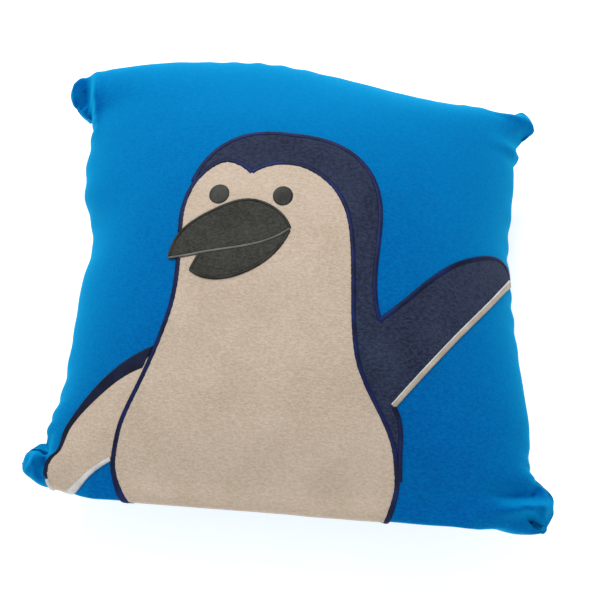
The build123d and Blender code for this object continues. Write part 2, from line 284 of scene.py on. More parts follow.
def open_zip(grid, facing):
    """Parts the bottom seam over the zip and rolls the panel out round it: the zip lies in a groove."""
    from_seam = (cloth_v + 1) * CUT_HALF
    beside = np.abs(grid[:, :1, 0])
    over_zip = smooth((LIP_END - beside) / (10 * MM))
    grid[..., 2] += facing * LIP_GAP * over_zip * (1 - smooth(from_seam / LIP_FADE))
    t = from_seam / ROLL_AT
    rolled = smooth((ROLL_END - beside) / (45 * MM)) * t * np.exp(1 - t)
    grid[..., 1] -= ROLL_OUT[facing] * rolled
    grid[..., 2] += facing * ROLL_RISE * rolled


def press(grid, x, y, angle, length, width, depth):
    """A dent, or with a negative depth a ridge, of a length and width round a place in plan."""
    turn = math.radians(angle)
    across, along = grid[..., 0] - x * MM, grid[..., 1] - y * MM
    a = (across * math.cos(turn) + along * math.sin(turn)) / (length * MM)
    b = (along * math.cos(turn) - across * math.sin(turn)) / (width * MM)
    return depth * MM * np.exp(-a * a - b * b)


def puckers():
    """Small gathers square to each seam, fading into the panel: how far they stand up and push out in plan.

    The bottom seam has no push, because the zip's tapes hold it straight."""
    height = np.zeros_like(cloth_u)
    push = [np.zeros_like(cloth_u), np.zeros_like(cloth_u)]
    for axis, along, across, phase in ((0, cloth_v, cloth_u, 0.0), (1, cloth_u, cloth_v, 1.7)):
        place = along * CUT_HALF / MM
        for edge in (-1, 1):
            from_seam = np.abs(edge - across) * CUT_HALF / MM
            swell = 0.55 + 0.45 * np.sin(place / 31 + phase + edge)
            wave = np.sin(place / 3.9 + 1.3 * np.sin(place / 17 + phase) + edge) * swell
            broad = 1.6 * np.sin(place / 13.5 + 2 * phase + edge * 0.8) * swell
            height += wave * PUCKER * smooth(from_seam / 3) * np.exp(-((from_seam / 11) ** 2))
            height += broad * PUCKER * smooth(from_seam / 8) * np.exp(-((from_seam / 30) ** 2))
            ripple = np.sin(place / 3.4 + 1.5 * np.sin(place / 23 + phase) + 2 * edge) * swell
            if (axis, edge) != (1, -1):
                push[axis] += edge * ripple * RIPPLE * np.exp(-((from_seam / 16) ** 2))
    return height, push


# Creases at the ears, front then back: x, y, angle, length, width and depth, ridges with negative depth
CREASES = {
    FRONT: [
        (-219, 167, 95, 22, 6.5, 22), (-214, 150, 62, 10, 4, 10), (-207, 166, 98, 28, 5, -7),
        (-228, 190, 60, 14, 4, -3), (188, 187, -5, 7, 3, 7), (184, 181, -8, 22, 5, -3),
        (203, 166, 40, 10, 4, 6), (197, 140, 90, 12, 2.5, 4), (-203, -186, 95, 9, 3, 13),
        (-211, -186, 95, 9, 3.5, -4), (-216, -192, 60, 8, 3, -3), (-203, -170, 70, 8, 4, 6),
        (216, -203, -30, 11, 2.6, 16), (206, -194, 12, 24, 5, -7), (198, -182, 8, 26, 7, 10),
        (214, -178, 60, 7, 4, 4), (222, -196, 80, 8, 4, -3),
    ],
    BACK: [
        (-214, 172, 50, 16, 4, 10), (-206, 186, 40, 18, 5, -4), (199, 174, -45, 14, 4, 9),
        (190, 184, -40, 16, 5, -4), (-206, -188, -50, 14, 4, 9), (-198, -196, -40, 15, 5, -4),
        (214, -192, 45, 15, 4, 10), (206, -200, 40, 14, 5, -4),
    ],
}

REST = 2 * MM  # depth over which the back panel flattens where the cushion rests

for facing in (FRONT, BACK):
    grid = panels[facing]
    grid[..., 2] = SEAM + (grid[..., 2] - SEAM) * RISE[facing] / np.abs(grid[..., 2] - SEAM).max()
    open_zip(grid, facing)
    rim_share = smooth((1 - np.maximum(np.abs(cloth_u), np.abs(cloth_v))) * CUT_HALF / (5 * MM))
    dents = sum(press(grid, *crease) for crease in CREASES[facing])
    gathers, push = puckers()
    grid[..., 2] += facing * (gathers - dents * rim_share)
    for axis in (0, 1):
        grid[..., axis] += push[axis]
    if facing == BACK:
        above = grid[..., 2] - REST
        grid[..., 2] = np.where(above < 0, REST * np.exp(above / REST), grid[..., 2])
        grid[..., 2] -= grid[..., 2].min()


def normals_of(grid, facing):
    du = np.gradient(grid, axis=0)
    dv = np.gradient(grid, axis=1)
    n = np.cross(du, dv) * facing
    return n / np.maximum(np.linalg.norm(n, axis=-1, keepdims=True), 1e-12)


panel_normals = {facing: normals_of(panels[facing], facing) for facing in panels}


def sample(grid, cu, cv):
    """Values of a fine grid at scattered cloth coordinates."""
    tu = (np.clip(cu, -1, 1) + 1) / 2 * (FINE - 1)
    tv = (np.clip(cv, -1, 1) + 1) / 2 * (FINE - 1)
    i = np.clip(np.floor(tu).astype(int), 0, FINE - 2)
    j = np.clip(np.floor(tv).astype(int), 0, FINE - 2)
    fu, fv = (tu - i)[..., None], (tv - j)[..., None]
    low = grid[i, j] * (1 - fu) + grid[i + 1, j] * fu
    high = grid[i, j + 1] * (1 - fu) + grid[i + 1, j + 1] * fu
    return low * (1 - fv) + high * fv


# Over the zip, the CAD picture ends at the zip's slot, and the sewn one runs on round the rolled edge to the
# seam. The first three are cloth coordinates, counted towards the bottom seam.

belly_low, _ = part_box("face_belly_applique")
CUT_LINE = float(to_cloth(-belly_low[1] / ZIP_EDGE))  # where the CAD picture ends
NEAR_ZIP = 0.7  # where the picture starts to stretch
PICTURE_END = 0.997
STRETCH_END = 172 * MM  # how far to each side the stretch reaches


def cloth_spots(plan):
    """Where plan points lie on the front panel's cloth, in metres from its middle."""
    u, v = panel_coordinates(plan[:, 0], plan[:, 1])
    cu, cv = to_cloth(u), to_cloth(v)
    over_zip = smooth((STRETCH_END - np.abs(plan[:, 0])) / (12 * MM))
    beyond = np.maximum(0, -cv - NEAR_ZIP)
    cv = cv - over_zip * beyond * (PICTURE_END - CUT_LINE) / (CUT_LINE - NEAR_ZIP)
    return np.stack([cu, cv], -1) * CUT_HALF


def on_cloth(spots, lift):
    """Places spots of the front panel's cloth in space, lifted along its normal."""
    cu, cv = spots.T / CUT_HALF
    lift = np.asarray(lift)
    lift = lift[:, None] if lift.ndim else lift
    return sample(panels[FRONT], cu, cv) + lift * sample(panel_normals[FRONT], cu, cv)


def on_cover(plan, lift):
    return on_cloth(cloth_spots(plan), lift)


# Meshes and materials


def add_piece(name, stands_for, points, faces, material, marks=None):
    """A piece that rides on the cover and stands for one CAD piece. Faces are lists of point numbers."""
    mesh = bpy.data.meshes.new(name)
    mesh.from_pydata(points.tolist(), [], faces)
    mesh.polygons.foreach_set("use_smooth", [True] * len(mesh.polygons))
    for mark, values in (marks or {}).items():
        attribute = mesh.attributes.new(mark, "FLOAT", "POINT")
        attribute.data.foreach_set("value", np.asarray(values, np.float32))
    mesh.materials.append(material)
    mesh.update()
    piece = bpy.data.objects.new(name, mesh)
    bpy.context.scene.collection.objects.link(piece)
    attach(piece, "cover")
    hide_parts(stands_for)


def linear(colour):
    """Linear colour from an everyday one given as three numbers up to 255."""
    c = np.array(colour) / 255
    c = np.where(c <= 0.04045, c / 12.92, ((c + 0.055) / 1.055) ** 2.4)
    return (*c.tolist(), 1.0)


def node(tree, kind, inputs=None, **settings):
    """A shader node with its inputs set to values, or linked when they are sockets."""
    made = tree.nodes.new("ShaderNode" + kind)
    for key, value in settings.items():
        setattr(made, key, value)
    for key, value in (inputs or {}).items():
        if isinstance(value, bpy.types.NodeSocket):
            tree.links.new(value, made.inputs[key])
        else:
            made.inputs[key].default_value = value
    return made


def mix(tree, factor, a, b):
    made = tree.nodes.new("ShaderNodeMix")
    made.data_type = "RGBA"
    sockets = {i.identifier: i for i in made.inputs}
    for key, value in (("Factor_Float", factor), ("A_Color", a), ("B_Color", b)):
        if isinstance(value, bpy.types.NodeSocket):
            tree.links.new(value, sockets[key])
        else:
            sockets[key].default_value = value
    return next(o for o in made.outputs if o.identifier == "Result_Color")


def new_material(name):
    material = bpy.data.materials.new(name)
    material.use_nodes = True
    tree = material.node_tree
    return material, tree, tree.nodes["Principled BSDF"]


def ramp(tree, value, low, high):
    made = node(tree, "MapRange", {"Value": value, "From Min": low, "From Max": high})
    return made.outputs["Result"]


def fabric(name, light, dark, rim, grain, nap, bump=0.3, rim_share=0.5, patchy=0.3, specular=0.15):
    """Napped cloth: ribs of pile, fine grain, broad mottling, and a painted sheen, lighter where seen edge
    on.
    """
    material, tree, shader = new_material(name)
    place = node(tree, "TexCoord").outputs["Object"]
    laid = node(tree, "Mapping", {"Vector": place, "Scale": (0.6, 1.0, 1.0)}).outputs["Vector"]
    pile = node(tree, "TexNoise", {"Vector": laid, "Scale": nap, "Detail": 3.0, "Roughness": 0.65})
    fine = node(tree, "TexNoise", {"Vector": place, "Scale": grain, "Detail": 3.0, "Roughness": 0.7})
    broad = node(tree, "TexNoise", {"Vector": place, "Scale": 28.0, "Detail": 2.0})
    blend = node(tree, "Math", {0: pile.outputs["Fac"], 1: fine.outputs["Fac"]}, operation="ADD")
    colour = mix(tree, ramp(tree, blend.outputs[0], 0.84, 1.16), linear(dark), linear(light))
    shade = mix(tree, ramp(tree, broad.outputs["Fac"], 0.3, 0.7), linear(dark), linear(light))
    colour = mix(tree, patchy, colour, shade)
    # Painted sheen: the rim colour is mixed into the base colour by facing, so the cloth is lighter where
    # seen edge on.
    edge = node(tree, "LayerWeight", {"Blend": 0.3})
    share = node(tree, "Math", {0: edge.outputs["Facing"], 1: rim_share}, operation="MULTIPLY")
    colour = mix(tree, share.outputs[0], colour, linear(rim))
    tree.links.new(colour, shader.inputs["Base Color"])
    shader.inputs["Roughness"].default_value = 0.9
    shader.inputs["Specular IOR Level"].default_value = specular
    shader.inputs["Sheen Weight"].default_value = 0.25
    shader.inputs["Sheen Roughness"].default_value = 0.5
    shader.inputs["Sheen Tint"].default_value = linear(rim)
    loops = node(tree, "TexVoronoi", {"Vector": laid, "Scale": nap * 1.4})
    height = node(tree, "Math", {0: blend.outputs[0], 1: loops.outputs["Distance"]}, operation="ADD")
    relief = node(tree, "Bump", {"Strength": bump, "Distance": 0.0008, "Height": height.outputs[0]})
    tree.links.new(relief.outputs["Normal"], shader.inputs["Normal"])
    return material


def satin(name, light, dark, edge_tone=0.35):
    """Close rows of embroidery thread: fine bright and dark stitches across the band, with painted shade and
    stitch holes darker at its edges.
    """
    material, tree, shader = new_material(name)
    along = node(tree, "Attribute", attribute_name="along").outputs["Fac"]
    across = node(tree, "Attribute", attribute_name="across").outputs["Fac"]
    edge = node(tree, "Attribute", attribute_name="edge").outputs["Fac"]
    place = node(tree, "TexCoord").outputs["Object"]
    stretched = node(tree, "CombineXYZ", {"X": along, "Y": across})
    strands = {"Vector": stretched.outputs[0], "Scale": 1.6, "Detail": 3.0, "Roughness": 0.8}
    threads = node(tree, "TexNoise", strands)
    wander = node(tree, "TexNoise", {"Vector": place, "Scale": 60.0, "Detail": 2.0})
    tone = node(tree, "Math", {0: threads.outputs["Fac"], 1: wander.outputs["Fac"]}, operation="ADD")
    colour = mix(tree, ramp(tree, tone.outputs[0], 0.8, 1.2), linear(dark), linear(light))
    # Painted shade where the band dips to the cloth, together with its stitch holes, darkening the edges.
    turned = node(tree, "Math", {0: edge, 1: 5.0}, operation="POWER").outputs[0]
    shadow = tuple(int(value * edge_tone) for value in dark)
    colour = mix(tree, turned, colour, linear(shadow))
    tree.links.new(colour, shader.inputs["Base Color"])
    shader.inputs["Roughness"].default_value = 0.55
    shader.inputs["Specular IOR Level"].default_value = 0.2
    relief = node(tree, "Bump", {"Strength": 0.5, "Distance": 0.0003, "Height": threads.outputs["Fac"]})
    tree.links.new(relief.outputs["Normal"], shader.inputs["Normal"])
    return material


# Each cloth's third colour is its painted sheen, mixed in where the cloth is seen edge on; the blue's is the
# strongest.
KNIT_BLUE = fabric(
    "knit_blue", (0, 107, 182), (0, 82, 155), (0, 184, 242), 1500, 480,
    bump=0.35, patchy=0.15, specular=0.04, rim_share=1.0,
)
FLEECE_NAVY = fabric(
    "fleece_navy", (58, 68, 94), (22, 28, 50), (78, 86, 112), 1300, 480, bump=0.6, rim_share=0.3
)
FLEECE_BEIGE = fabric(
    "fleece_beige", (216, 198, 180), (186, 168, 148), (222, 208, 192), 1300, 520, bump=0.5, rim_share=0.3
)
FELT_CHARCOAL = fabric("felt_charcoal", (78, 79, 74), (40, 42, 37), (84, 84, 80), 1300, 500, bump=0.6)
SATIN_NAVY = satin("satin_navy", (18, 36, 96), (6, 14, 44))
SATIN_MIDNIGHT = satin("satin_midnight", (20, 30, 62), (8, 13, 32), edge_tone=1.6)
SATIN_WHITE = satin("satin_white", (230, 230, 228), (196, 196, 194), edge_tone=0.8)
SATIN_PALE = satin("satin_pale", (206, 194, 176), (172, 158, 138), edge_tone=0.8)
SATIN_CHARCOAL = satin("satin_charcoal", (66, 66, 62), (28, 28, 26))
SATIN_GREY = satin("satin_grey", (122, 122, 118), (84, 84, 82))
STABILISER = fabric("stabiliser", (236, 236, 232), (220, 220, 216), (240, 240, 238), 700, 300)
PAD_CASE = fabric("pad_case", (238, 238, 236), (222, 222, 220), (244, 244, 242), 900, 400)
FIBRE = fabric("fibre", (244, 244, 242), (226, 226, 224), (250, 250, 250), 600, 150, bump=0.8)
THREAD_BLUE = satin("thread_blue", (0, 110, 186), (0, 84, 150))
TAPE_BLUE = fabric("tape_blue", (0, 104, 176), (0, 84, 150), (0, 130, 196), 1200, 700)
LABEL = fabric("label", (240, 240, 238), (226, 226, 224), (246, 246, 246), 1200, 700)

# Cover panels: closed shells with a turned-in allowance at the seam

KNIT = 1.2 * MM  # thickness of the cover's cloth
GROOVE = 1.8 * MM  # how deep the seam is drawn in between the panels
ALLOWANCE = 10 * MM  # cloth turned in at the seam
EDGE_STEPS = np.array([0, 0.6, 1.3, 2.2, 3.4, 5, 7, 9.5, 12.5]) * MM / CUT_HALF


def panel_lines():
    """Cloth coordinates of a panel's grid lines, closer together beside the seams."""
    inside = np.linspace(-1, 1, 201)
    margin = EDGE_STEPS[-1] + 0.006
    inside = inside[np.abs(inside) < 1 - margin]
    return np.concatenate([-1 + EDGE_STEPS, inside, (1 - EDGE_STEPS)[::-1]])


def grid_faces(rows, columns, start, turn):
    n = np.arange(rows * columns).reshape(rows, columns) + start
    corners = [n[:-1, :-1], n[1:, :-1], n[1:, 1:], n[:-1, 1:]]
    return np.stack(corners[::turn], -1).reshape(-1, 4)


def rim_of(rows, columns):
    """Numbers of a grid's rim points, in order round it."""
    n = np.arange(rows * columns).reshape(rows, columns)
    return np.concatenate([n[:-1, 0], n[-1, :-1], n[:0:-1, -1], n[0, :0:-1]])


def ring_faces(a, b, turn=1):
    faces = np.stack([a, np.roll(a, -1), np.roll(b, -1), b], -1)
    return faces if turn == 1 else faces[:, ::-1]


def build_cover(facing, name):
    """A panel as a closed shell: its outer and inner side, and the allowance turned in behind the seam."""
    lines = panel_lines()
    size = len(lines)
    cu, cv = [part.ravel() for part in np.meshgrid(lines, lines, indexing="ij")]
    outer = sample(panels[facing], cu, cv)
    normal = sample(panel_normals[facing], cu, cv)
    inner = outer - normal * KNIT
    rim = rim_of(size, size)
    from_seam = ((1 - np.maximum(np.abs(cu), np.abs(cv))) * CUT_HALF)[:, None]
    to_middle = -outer * [1, 1, 0]
    to_middle /= np.maximum(np.linalg.norm(to_middle, axis=1, keepdims=True), EAR / 2)
    outer = outer + to_middle * GROOVE * (1 - smooth(from_seam / (2.4 * MM)))
    outer[:, 2:] += facing * 0.5 * MM * smooth(from_seam / MM) * (1 - smooth(from_seam / (6 * MM)))
    edge = outer[rim]
    inward = -edge * [1, 1, 0]
    inward /= np.linalg.norm(inward, axis=1, keepdims=True)
    seam_side = edge + inward * ALLOWANCE + [0, 0, facing * 0.1 * MM]
    pad_side = seam_side + [0, 0, facing * KNIT]
    inner[rim] = edge + inward * 1.5 * KNIT + [0, 0, facing * KNIT]
    points = np.concatenate([outer, inner, seam_side, pad_side])
    count = size * size
    seam_ring = 2 * count + np.arange(len(rim))
    pad_ring = seam_ring + len(rim)
    faces = [
        grid_faces(size, size, 0, facing),
        grid_faces(size, size, count, -facing),
        ring_faces(rim, seam_ring, facing),
        ring_faces(seam_ring, pad_ring, facing),
        ring_faces(pad_ring, rim + count, facing),
    ]
    add_piece(name + "_knit", name, points, np.concatenate(faces).tolist(), KNIT_BLUE)


build_cover(FRONT, "cover_front")
build_cover(BACK, "cover_back")

# Outlines of the picture's pieces, in plan, from the CAD nodes


def plan_loops(name):
    """Outlines of a CAD piece's upper side, in plan."""
    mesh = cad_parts[name].data
    places, numbers = {}, []
    for vertex in mesh.vertices:
        key = tuple(round(value, 6) for value in vertex.co)
        numbers.append(places.setdefault(key, len(places)))
    points = np.array(list(places))
    ahead = {}
    for polygon in mesh.polygons:
        if polygon.normal.z < 0.2:
            continue
        corners = [numbers[i] for i in polygon.vertices]
        for a, b in zip(corners, corners[1:] + corners[:1]):
            ahead[(a, b)] = True
    rim = {a: b for a, b in ahead if (b, a) not in ahead}
    loops = []
    while rim:
        first = next(iter(rim))
        loop, at = [first], rim.pop(first)
        while at != first and at in rim:
            loop.append(at)
            at = rim.pop(at)
        if len(loop) > 5:
            loops.append(points[loop][:, :2])
    return loops


def resample(points, step, closed):
    """The same line with points at even steps."""
    line = np.concatenate([points, points[:1]]) if closed else points
    lengths = np.linalg.norm(np.diff(line, axis=0), axis=1)
    at = np.concatenate([[0], np.cumsum(lengths)])
    count = max(3, int(round(at[-1] / step)))
    wanted = np.linspace(0, at[-1], count + 1)
    if closed:
        wanted = wanted[:-1]
    return np.stack([np.interp(wanted, at, line[:, k]) for k in range(2)], -1)


def inside(points, loops):
    """True for each point inside the loops, by the even-odd rule."""
    hit = np.zeros(len(points), bool)
    x, y = points[:, 0:1], points[:, 1:2]
    for loop in loops:
        a, b = loop, np.roll(loop, -1, axis=0)
        crosses = (a[:, 1] > y) != (b[:, 1] > y)
        rise = np.where(b[:, 1] == a[:, 1], 1e-12, b[:, 1] - a[:, 1])
        left = x < a[:, 0] + (y - a[:, 1]) * (b[:, 0] - a[:, 0]) / rise
        hit ^= (crosses & left).sum(axis=1) % 2 == 1
    return hit


def distance_to(points, line):
    """Distance from each point to the nearest point of a line, worked out in parts to save memory."""
    parts = np.array_split(points, 30)
    return np.concatenate([np.sqrt(((part[:, None] - line[None]) ** 2).sum(-1)).min(1) for part in parts])


def fill(loops, step):
    """Triangles over the inside of the loops: points and triangles."""
    corners = np.concatenate(loops)
    low, high = corners.min(0), corners.max(0)
    across = np.arange(low[0], high[0], step)
    up = np.arange(low[1], high[1], step * 0.866)
    gx, gy = np.meshgrid(across, up)
    gx = gx + (np.arange(len(up)) % 2)[:, None] * step / 2
    middle = np.stack([gx.ravel(), gy.ravel()], -1)
    middle = middle[inside(middle, loops)]
    middle = middle[distance_to(middle, corners) > 0.6 * step]
    edges, start = [], 0
    for loop in loops:
        n = start + np.arange(len(loop))
        edges += list(zip(n.tolist(), np.roll(n, -1).tolist()))
        start += len(loop)
    coords = [Vector(p) for p in np.concatenate([corners, middle]).tolist()]
    points, _, triangles, _, _, _ = geometry.delaunay_2d_cdt(coords, edges, [], 2, 1e-7)
    points = np.array([tuple(p) for p in points])
    triangles = np.array([t for t in triangles if len(t) == 3])
    a, b, c = (points[triangles[:, k]] for k in range(3))
    turned = np.cross(b - a, c - a) < 0
    triangles[turned] = triangles[turned][:, ::-1]
    return points, triangles


def rim_edges(triangles):
    """Edges that only one triangle has."""
    seen = set()
    for t in triangles.tolist():
        seen.update(zip(t, t[1:] + t[:1]))
    return np.array([(a, b) for a, b in seen if (b, a) not in seen])


def cloth_loops(name, step):
    """Outlines of a CAD piece's upper side on the cloth, with points at even steps."""
    fine_loops = [resample(loop, 0.3 * MM, True) for loop in plan_loops(name)]
    return [resample(cloth_spots(loop), step, True) for loop in fine_loops]


def closed_sheet(spots, triangles, top, bottom):
    """A sheet on the front panel between two lifts, closed round its rim."""
    points = np.concatenate([on_cloth(spots, top), on_cloth(spots, bottom)])
    rim = rim_edges(triangles)
    count = len(spots)
    side = np.stack([rim[:, 1], rim[:, 0], rim[:, 0] + count, rim[:, 1] + count], -1)
    faces = triangles.tolist() + (triangles[:, ::-1] + count).tolist() + side.tolist()
    return points, faces


# Heights over the front panel
PATCH_BOTTOM, PATCH_TOP = 0.15 * MM, 1.1 * MM
BEAK_BOTTOM, BEAK_TOP = 1 * MM, 1.8 * MM
SATIN_BOTTOM, SATIN_TOP = 0.5 * MM, 1.8 * MM
BEAK_SATIN_TOP = 2.6 * MM


def add_patch(name, material, bottom=PATCH_BOTTOM, top=PATCH_TOP, step=2.2 * MM):
    """A cut patch with its rim pressed down by the stitches."""
    loops = cloth_loops(name, 1.2 * MM)
    spots, triangles = fill(loops, step)
    gap = distance_to(spots, np.concatenate(loops))
    lift = bottom + (top - bottom) * (0.3 + 0.7 * smooth(gap / (1.0 * MM)))
    points, faces = closed_sheet(spots, triangles, lift, bottom)
    add_piece(name + "_cloth", name, points, faces, material)


add_patch("body_applique", FLEECE_NAVY)
add_patch("face_belly_applique", FLEECE_BEIGE)
add_patch("left_flipper_applique", FLEECE_BEIGE)
for mandible in ("upper_beak", "lower_beak"):
    add_patch(mandible, FELT_CHARCOAL, BEAK_BOTTOM, BEAK_TOP, step=1.5 * MM)

# Satin borders

STITCH = 0.7 * MM  # from one stitch to the next but one, a row of points for each


def runs_inside(patch_name, band_name, step):
    """Stretches of a patch's outline that lie within a band."""
    band = plan_loops(band_name)
    found = []
    for loop in plan_loops(patch_name):
        line = resample(loop, step, True)
        held = inside(line, band)
        if held.all():
            found.append(np.concatenate([line, line[:1]]))
            continue
        first = int(np.argmin(held))
        line, held = np.roll(line, -first, axis=0), np.roll(held, -first)
        ends = np.flatnonzero(np.diff(np.concatenate([[False], held, [False]]).astype(int)))
        for a, b in zip(ends[::2], ends[1::2]):
            if (b - a) * step > 3 * MM:
                found.append(line[a:b])
    return found


def split_at_corners(line, step):
    """Cuts a line where it turns sharply within two millimetres."""
    reach = max(1, int(2 * MM / step))
    ahead = line[2 * reach :] - line[reach:-reach]
    behind = line[reach:-reach] - line[: -2 * reach]
    cosine = (ahead * behind).sum(1) / (np.linalg.norm(ahead, axis=1) * np.linalg.norm(behind, axis=1))
    sharp = cosine < math.cos(math.radians(35))
    parts, start = [], 0
    ends = np.flatnonzero(np.diff(np.concatenate([[False], sharp, [False]]).astype(int)))
    for a, b in zip(ends[::2], ends[1::2]):
        middle = a + int(np.argmin(cosine[a:b])) + reach
        parts.append(line[start : middle + 1])
        start = middle
    parts.append(line[start:])
    return [part for part in parts if len(part) * step > 2 * MM]


def sweep_band(line, width, bottom, top, base_number, offset):
    """A domed band of stitches along a line in plan: points, faces and marks for the material."""
    line = resample(line, STITCH / 2, False)
    soft = line.copy()
    for _ in range(6):
        soft[1:-1] = (soft[:-2] + 2 * soft[1:-1] + soft[2:]) / 4
    line = soft
    heading = np.gradient(line, axis=0)
    heading /= np.linalg.norm(heading, axis=1, keepdims=True)
    side = np.stack([-heading[:, 1], heading[:, 0]], -1)
    across = np.array([-1, -0.82, -0.5, 0, 0.5, 0.82, 1])
    rows, columns = len(line), len(across)
    stitch = np.arange(rows) % 2
    ragged = rng.uniform(-0.12, 0.12, (rows, 2)) * MM
    frayed = np.where(across[None] < 0, -ragged[:, :1], ragged[:, 1:]) * np.abs(across[None])
    reach = width / 2 * across[None] + frayed + offset
    plan = line[:, None] + side[:, None] * reach[..., None]
    dome = np.sqrt(np.clip(1 - across**2, 0, 1))
    end = np.minimum(np.arange(rows), np.arange(rows)[::-1])
    taper = np.sqrt(smooth((end + 1) / 4))
    lift = bottom + (top - bottom) * dome[None] * taper[:, None]
    lift = lift + (stitch[:, None] * 2 - 1) * 0.07 * MM * dome[None]
    upper = on_cover(plan.reshape(-1, 2), lift.ravel())
    lower_plan = plan[:, [0, -1]].reshape(-1, 2)
    lower = on_cover(lower_plan, PATCH_BOTTOM * 0.5)
    n = np.arange(rows * columns).reshape(rows, columns) + base_number
    m = np.arange(rows * 2).reshape(rows, 2) + base_number + rows * columns
    faces = []
    for j in range(columns - 1):
        faces.append(np.stack([n[:-1, j], n[1:, j], n[1:, j + 1], n[:-1, j + 1]], -1)[:, ::-1])
    faces.append(np.stack([m[:-1, 0], m[1:, 0], n[1:, 0], n[:-1, 0]], -1)[:, ::-1])
    faces.append(np.stack([n[:-1, -1], n[1:, -1], m[1:, 1], m[:-1, 1]], -1)[:, ::-1])
    faces.append(np.stack([m[:-1, 1], m[1:, 1], m[1:, 0], m[:-1, 0]], -1)[:, ::-1])
    faces = np.concatenate(faces).tolist()
    for row, turn in ((0, 1), (rows - 1, -1)):
        cap = [*n[row].tolist(), int(m[row, 1]), int(m[row, 0])]
        faces.append(cap[::turn])
    along = np.repeat(np.arange(rows) * STITCH / 2 / MM, columns)
    spread = np.tile(across * width / 2 / MM * 0.05, rows)
    edge = np.tile(np.abs(across), rows)
    along = np.concatenate([along, np.repeat(np.arange(rows) * STITCH / 2 / MM, 2)])
    spread = np.concatenate([spread, np.zeros(rows * 2)])
    edge = np.concatenate([edge, np.ones(rows * 2)])
    return np.concatenate([upper, lower]), faces, along, spread, edge


def add_satin(name, patch, width, material, bottom=SATIN_BOTTOM, top=SATIN_TOP, offset=0.0, title=None):
    """The satin bands of a CAD border, along the edge of the patch that the border covers."""
    points, faces, along, across, edges = [], [], [], [], []
    count = 0
    for run in runs_inside(patch, name, STITCH / 2):
        for line in split_at_corners(run, STITCH / 2):
            p, f, a, s, e = sweep_band(line, width, bottom, top, count, offset)
            points.append(p)
            faces += f
            along.append(a + 31 * len(along))
            across.append(s)
            edges.append(e)
            count += len(p)
    marks = {"along": np.concatenate(along), "across": np.concatenate(across), "edge": np.concatenate(edges)}
    add_piece(title or name + "_thread", name, np.concatenate(points), faces, material, marks)


add_satin("body_border_stitch", "body_applique", 4.4 * MM, SATIN_NAVY)
add_satin("face_border_stitch", "face_belly_applique", 4.4 * MM, SATIN_NAVY)
add_satin("raised_flipper_edge_stitch", "body_applique", 4.6 * MM, SATIN_PALE)
# A thin white band along the upper edge of the raised flipper's strip: a painted highlight.
add_satin(
    "raised_flipper_edge_stitch", "body_applique", 1.5 * MM, SATIN_WHITE, top=2.1 * MM,
    offset=1.8 * MM, title="raised_flipper_edge_painted_highlight",
)
add_satin("left_flipper_lower_stitch", "left_flipper_applique", 3.2 * MM, SATIN_WHITE)
for mandible in ("upper_beak", "lower_beak"):
    border = mandible + "_border_stitch"
    add_satin(border, mandible, 2.6 * MM, SATIN_CHARCOAL, 1.4 * MM, BEAK_SATIN_TOP)
add_satin("mouth_line_stitch", "upper_beak", 2.2 * MM, SATIN_GREY, 1.5 * MM, BEAK_SATIN_TOP)


def add_filled_satin(name, material):
    """A satin-filled shape: rows of stitches side by side, rounded over at the outline."""
    loops = cloth_loops(name, STITCH)
    spots, triangles = fill(loops, STITCH)
    gap = distance_to(spots, np.concatenate(loops))
    lift = SATIN_BOTTOM + (SATIN_TOP - SATIN_BOTTOM) * np.sqrt(smooth(gap / (1.6 * MM)))
    lift = lift + 0.08 * MM * np.sin(spots[:, 0] / (0.9 * MM) * 2 * math.pi) * smooth(gap / (1 * MM))
    points, faces = closed_sheet(spots, triangles, lift, PATCH_BOTTOM)
    along = np.tile(spots[:, 0] / MM, 2)
    across = np.tile(spots[:, 1] / MM * 0.05, 2)
    marks = {"along": along, "across": across, "edge": np.tile(1 - smooth(gap / (1.2 * MM)), 2)}
    add_piece(name + "_thread", name, points, faces, material, marks)


for eye in ("left_eye", "right_eye"):
    add_filled_satin(eye, SATIN_CHARCOAL)
add_filled_satin("left_flipper_edge", SATIN_MIDNIGHT)

# Layers inside the cover

EAR_EMPTY = 0.16  # share of a side by which the pad's corners stay short of the ears
PAD_GRID = 61  # points along each side of a layer
CASE_DEPTH, CASE = 1.6 * MM, 0.9 * MM  # the pad's case, behind the cover's cloth
FIBRE_DEPTH = 2.7 * MM


def pad_places(inset):
    """Cloth coordinates of a layer inside the cover, inset from the seams and drawn back from the ears."""
    lines = np.linspace(-1, 1, PAD_GRID)
    cu, cv = [part.ravel() for part in np.meshgrid(lines, lines, indexing="ij")]
    reach = 1 - inset / CUT_HALF
    return cu * reach * (1 - EAR_EMPTY * cv**4), cv * reach * (1 - EAR_EMPTY * cu**4)


def build_layer(name, sheets, inset, material):
    """A closed body between two sheets, each at a depth behind a panel's cloth."""
    cu, cv = pad_places(inset)
    rim = rim_of(PAD_GRID, PAD_GRID)
    points = []
    for facing, depth in sheets:
        normal = sample(panel_normals[facing], cu, cv)
        points.append(sample(panels[facing], cu, cv) - normal * (KNIT + depth))
    count, turn = len(cu), sheets[0][0]
    faces = [
        grid_faces(PAD_GRID, PAD_GRID, 0, turn),
        grid_faces(PAD_GRID, PAD_GRID, count, -turn),
        ring_faces(rim, rim + count, turn),
    ]
    add_piece(name + "_sheet", name, np.concatenate(points), np.concatenate(faces).tolist(), material)


def turns(count):
    """Even angles round a circle."""
    return [2 * math.pi * k / count for k in range(count)]


